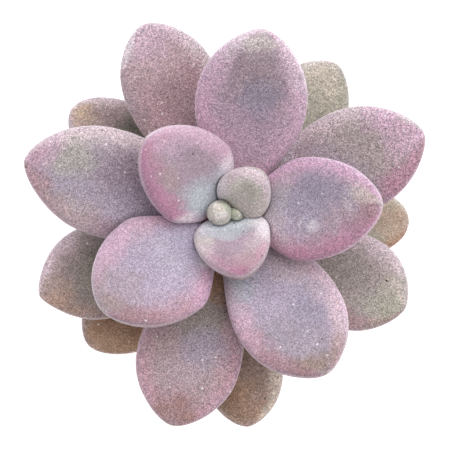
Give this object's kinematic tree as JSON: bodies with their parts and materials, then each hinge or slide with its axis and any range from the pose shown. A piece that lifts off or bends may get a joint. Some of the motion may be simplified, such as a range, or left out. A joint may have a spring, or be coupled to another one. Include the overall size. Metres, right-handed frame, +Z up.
{
  "type": "potted graptopetalum ellen succulent",
  "caption": "Potted rosette succulent: a spiral of thick, farina-dusted pink-mauve leaves on a short stem, in soil and grit in a small tapered clay pot.",
  "frame": {"origin": "on the ground under the middle of the pot's foot", "axes": "+Z up along the pot's axis, +Y towards the top of the picture, +X to its right"},
  "size_m": [0.0874, 0.0903, 0.102],
  "materials": {
    "clay": "matte",
    "soil": "matte",
    "stem": "matte",
    "bud_leaf": "matte",
    "young_leaf": "matte",
    "leaf": "matte",
    "old_leaf": "matte"
  },
  "bodies": {
    "root": {"pot": "clay", "soil": "soil", "stem": "stem", "leaf_01": "bud_leaf", "leaf_02": "bud_leaf", "leaf_03": "young_leaf", "leaf_04": "young_leaf", "leaf_05": "young_leaf", "leaf_06": "leaf", "leaf_07": "leaf", "leaf_08": "leaf", "leaf_09": "leaf", "leaf_10": "leaf", "leaf_11": "leaf", "leaf_12": "leaf", "leaf_13": "leaf", "leaf_14": "old_leaf", "leaf_15": "old_leaf", "leaf_16": "old_leaf", "leaf_17": "old_leaf", "leaf_18": "old_leaf", "leaf_19": "old_leaf", "leaf_20": "old_leaf"}
  },
  "joints": []
}
